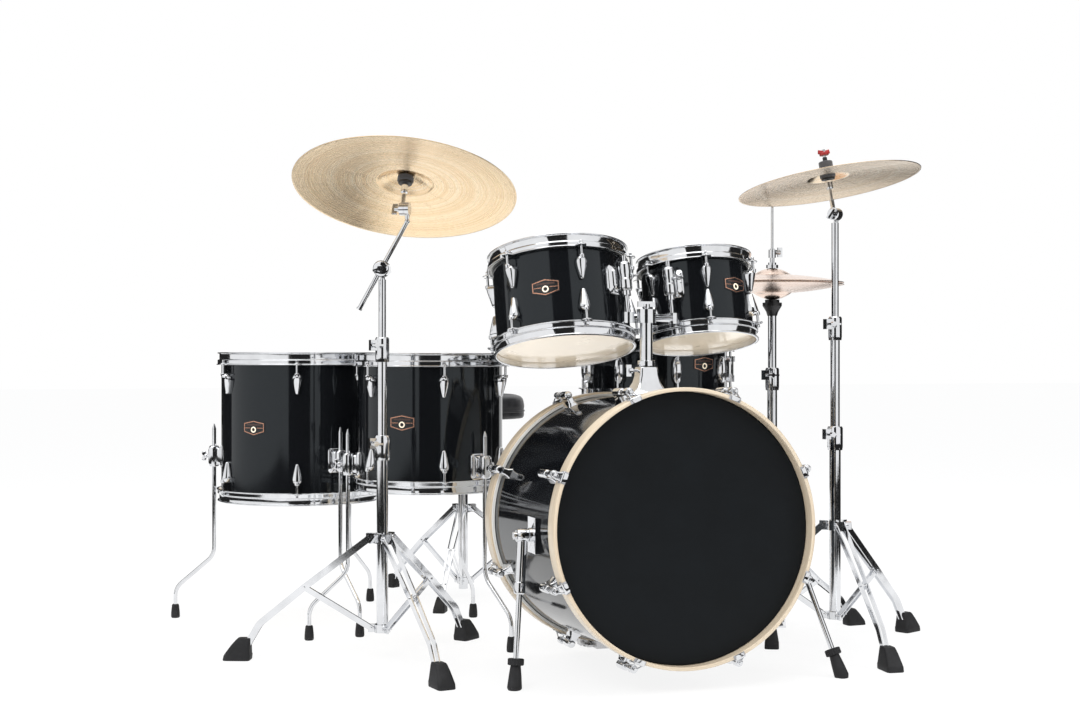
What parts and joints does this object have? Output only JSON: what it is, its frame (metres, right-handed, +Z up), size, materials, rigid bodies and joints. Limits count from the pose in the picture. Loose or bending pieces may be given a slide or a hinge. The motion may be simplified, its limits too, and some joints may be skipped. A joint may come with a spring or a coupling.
{
  "type": "acoustic drum kit",
  "caption": "Drum kit on its own stands: bass drum with pedal, rack and floor toms, snare drum, hi-hat, crash and ride cymbals and a round throne.",
  "frame": {"origin": "middle of the footprint box on the floor", "axes": "+Z up, -Y the side of the kit that faces the listener, +X the side of the hi-hat and crash"},
  "size_m": [1.7759, 1.6948, 1.1802],
  "materials": {
    "black_lacquer": "gloss black lacquer over a wooden shell",
    "maple": "clear lacquered maple",
    "black_head": "matt black film",
    "white_head": "coated white film",
    "cream_head": "clear film that looks cream over the drum",
    "chrome": "polished chrome plate",
    "steel_wire": "bright drawn steel wire",
    "cymbal_bronze": "lathed and hammered bronze",
    "pedal_metal": "cast and plated metal",
    "foot_rubber": "black moulded rubber",
    "seat_vinyl": "black vinyl over foam"
  },
  "bodies": {
    "kit": {"bass_shell": "black_lacquer", "bass_front_head": "black_head", "bass_batter_head": "white_head", "bass_hoops": "maple", "bass_lugs": "chrome", "bass_claws": "chrome", "bass_brackets": "chrome", "floor_tom_shells": "black_lacquer", "floor_tom_heads": "cream_head", "floor_tom_hoops": "chrome", "floor_tom_fittings": "chrome", "ride_stand_base": "chrome", "crash_stand_base": "chrome", "hihat_stand_base": "chrome", "hihat_bottom_cymbal": "cymbal_bronze", "snare_stand_base": "chrome", "throne_base": "chrome", "kick_pedal_frame": "chrome", "stand_feet": "foot_rubber"},
    "left_spur": {"left_spur": "chrome"},
    "right_spur": {"right_spur": "chrome"},
    "tom_post": {"tom_post": "chrome"},
    "tom12_arm": {"tom12_arm": "chrome"},
    "tom12": {"tom12_shell": "black_lacquer", "tom12_heads": "cream_head", "tom12_hoops": "chrome", "tom12_fittings": "chrome"},
    "tom10_arm": {"tom10_arm": "chrome"},
    "tom10": {"tom10_shell": "black_lacquer", "tom10_heads": "cream_head", "tom10_hoops": "chrome", "tom10_fittings": "chrome"},
    "snare": {"snare_basket": "chrome", "snare_shell": "black_lacquer", "snare_heads": "white_head", "snare_hoops": "chrome", "snare_fittings": "chrome", "snare_wires": "steel_wire"},
    "snare_throwoff": {"snare_throwoff_lever": "chrome"},
    "ride_mid": {"ride_mid_tube": "chrome"},
    "ride_top": {"ride_top_tube": "chrome"},
    "ride_boom": {"ride_boom": "chrome"},
    "ride_tilter": {"ride_cymbal_tilter": "chrome"},
    "ride_cymbal": {"ride_cymbal": "cymbal_bronze"},
    "crash_mid": {"crash_mid_tube": "chrome"},
    "crash_top": {"crash_top_tube": "chrome"},
    "crash_tilter": {"crash_cymbal_tilter": "chrome"},
    "crash_cymbal": {"crash_cymbal": "cymbal_bronze"},
    "hihat_pull": {"hihat_rod": "chrome", "hihat_top_cymbal": "cymbal_bronze"},
    "hihat_footboard": {"hihat_footboard": "pedal_metal"},
    "kick_beater": {"kick_beater": "pedal_metal"},
    "kick_footboard": {"kick_footboard": "pedal_metal"},
    "throne_seat": {"throne_seat": "seat_vinyl"},
    "floor14_leg_a": {"floor14_leg_a": "chrome"},
    "floor14_leg_b": {"floor14_leg_b": "chrome"},
    "floor14_leg_c": {"floor14_leg_c": "chrome"},
    "floor16_leg_a": {"floor16_leg_a": "chrome"},
    "floor16_leg_b": {"floor16_leg_b": "chrome"},
    "floor16_leg_c": {"floor16_leg_c": "chrome"}
  },
  "joints": [
    {"name": "left_spur_fold", "type": "hinge", "parent": "kit", "child": "left_spur", "pos_m": [-0.25877, -0.66699, 0.31377], "axis": [1, 0, 0], "range_deg": [0, 90]},
    {"name": "right_spur_fold", "type": "hinge", "parent": "kit", "child": "right_spur", "pos_m": [0.35003, -0.66699, 0.31377], "axis": [1, 0, 0], "range_deg": [0, 90]},
    {"name": "tom_post_height", "type": "slide", "parent": "kit", "child": "tom_post", "axis": [0, 0, 1], "range_m": [-0.01, 0.07]},
    {"name": "tom12_arm_tilt", "type": "hinge", "parent": "tom_post", "child": "tom12_arm", "pos_m": [0.01025, -0.58211, 0.772], "axis": [1, 0, 0], "range_deg": [-8, 8]},
    {"name": "tom12_swivel", "type": "hinge", "parent": "tom12_arm", "child": "tom12", "pos_m": [0.01025, -0.56371, 0.84583], "axis": [0, 0.2419, 0.9703], "range_deg": [-3, 25]},
    {"name": "tom10_arm_tilt", "type": "hinge", "parent": "tom_post", "child": "tom10_arm", "pos_m": [0.1355, -0.52579, 0.772], "axis": [1, 0, 0], "range_deg": [-8, 8]},
    {"name": "tom10_swivel", "type": "hinge", "parent": "tom10_arm", "child": "tom10", "pos_m": [0.1355, -0.51165, 0.83852], "axis": [0, 0.2079, 0.9781], "range_deg": [-8, 1]},
    {"name": "floor14_leg_a_height", "type": "slide", "parent": "kit", "child": "floor14_leg_a", "axis": [0, 0, 1], "range_m": [-0.05, 0.12]},
    {"name": "floor14_leg_b_height", "type": "slide", "parent": "kit", "child": "floor14_leg_b", "axis": [0, 0, 1], "range_m": [-0.05, 0.12]},
    {"name": "floor14_leg_c_height", "type": "slide", "parent": "kit", "child": "floor14_leg_c", "axis": [0, 0, 1], "range_m": [-0.05, 0.12]},
    {"name": "floor16_leg_a_height", "type": "slide", "parent": "kit", "child": "floor16_leg_a", "axis": [0, 0, 1], "range_m": [-0.05, 0.12]},
    {"name": "floor16_leg_b_height", "type": "slide", "parent": "kit", "child": "floor16_leg_b", "axis": [0, 0, 1], "range_m": [-0.05, 0.12]},
    {"name": "floor16_leg_c_height", "type": "slide", "parent": "kit", "child": "floor16_leg_c", "axis": [0, 0, 1], "range_m": [-0.05, 0.12]},
    {"name": "snare_height", "type": "slide", "parent": "kit", "child": "snare", "axis": [0, 0, 1], "range_m": [-0.03, 0.03]},
    {"name": "snare_throwoff_turn", "type": "hinge", "parent": "snare", "child": "snare_throwoff", "pos_m": [0.44439, -0.16851, 0.68], "axis": [-0.5255, -0.8508, 0], "range_deg": [0, 90]},
    {"name": "ride_mid_height", "type": "slide", "parent": "kit", "child": "ride_mid", "axis": [0, 0, 1], "range_m": [-0.03, 0.12]},
    {"name": "ride_top_height", "type": "slide", "parent": "ride_mid", "child": "ride_top", "axis": [0, 0, 1], "range_m": [-0.03, 0.15]},
    {"name": "ride_boom_tilt", "type": "hinge", "parent": "ride_top", "child": "ride_boom", "pos_m": [-0.48087, -0.31128, 0.884], "axis": [0.342, 0.9397, 0], "range_deg": [-8, 8]},
    {"name": "ride_cymbal_tilt", "type": "hinge", "parent": "ride_boom", "child": "ride_tilter", "pos_m": [-0.43595, -0.34197, 1.01803], "axis": [0.8796, -0.4756, 0], "range_deg": [-7, 7]},
    {"name": "ride_cymbal_spin", "type": "hinge", "parent": "ride_tilter", "child": "ride_cymbal", "pos_m": [-0.42649, -0.31257, 1.09742], "axis": [0.1697, 0.3143, 0.934], "continuous": true},
    {"name": "crash_mid_height", "type": "slide", "parent": "kit", "child": "crash_mid", "axis": [0, 0, 1], "range_m": [-0.03, 0.12]},
    {"name": "crash_top_height", "type": "slide", "parent": "crash_mid", "child": "crash_top", "axis": [0, 0, 1], "range_m": [-0.03, 0.15]},
    {"name": "crash_cymbal_tilt", "type": "hinge", "parent": "crash_top", "child": "crash_tilter", "pos_m": [0.58063, -0.45399, 1.024], "axis": [0.809, 0.5878, 0], "range_deg": [-7, 7]},
    {"name": "crash_cymbal_spin", "type": "hinge", "parent": "crash_tilter", "child": "crash_cymbal", "pos_m": [0.56502, -0.44223, 1.12732], "axis": [-0.1052, 0.1436, 0.984], "continuous": true},
    {"name": "hihat_rod_lift", "type": "slide", "parent": "kit", "child": "hihat_pull", "axis": [0, 0, 1], "range_m": [-0.002, 0.02]},
    {"name": "hihat_footboard_press", "type": "hinge", "parent": "kit", "child": "hihat_footboard", "pos_m": [0.64849, 0.0235, 0.025], "axis": [-0.8988, 0.4384, 0], "range_deg": [-0.46, 4.64]},
    {"name": "kick_beater_swing", "type": "hinge", "parent": "kit", "child": "kick_beater", "pos_m": [0.04563, -0.27698, 0.122], "axis": [1, 0, 0], "range_deg": [-3, 39], "stiffness_Nm_per_rad": 3},
    {"name": "kick_footboard_press", "type": "hinge", "parent": "kit", "child": "kick_footboard", "pos_m": [0.04563, -0.04498, 0.026], "axis": [1, 0, 0], "range_deg": [-0.75, 9.75]},
    {"name": "throne_seat_swivel", "type": "hinge", "parent": "kit", "child": "throne_seat", "pos_m": [-0.05937, 0.57302, 0.51], "axis": [0, 0, 1], "continuous": true}
  ],
  "couplings": [
    {"joint": "hihat_footboard_press", "follows": "hihat_rod_lift", "rad_per_m": 4.05},
    {"joint": "kick_footboard_press", "follows": "kick_beater_swing", "ratio": 0.25}
  ]
}
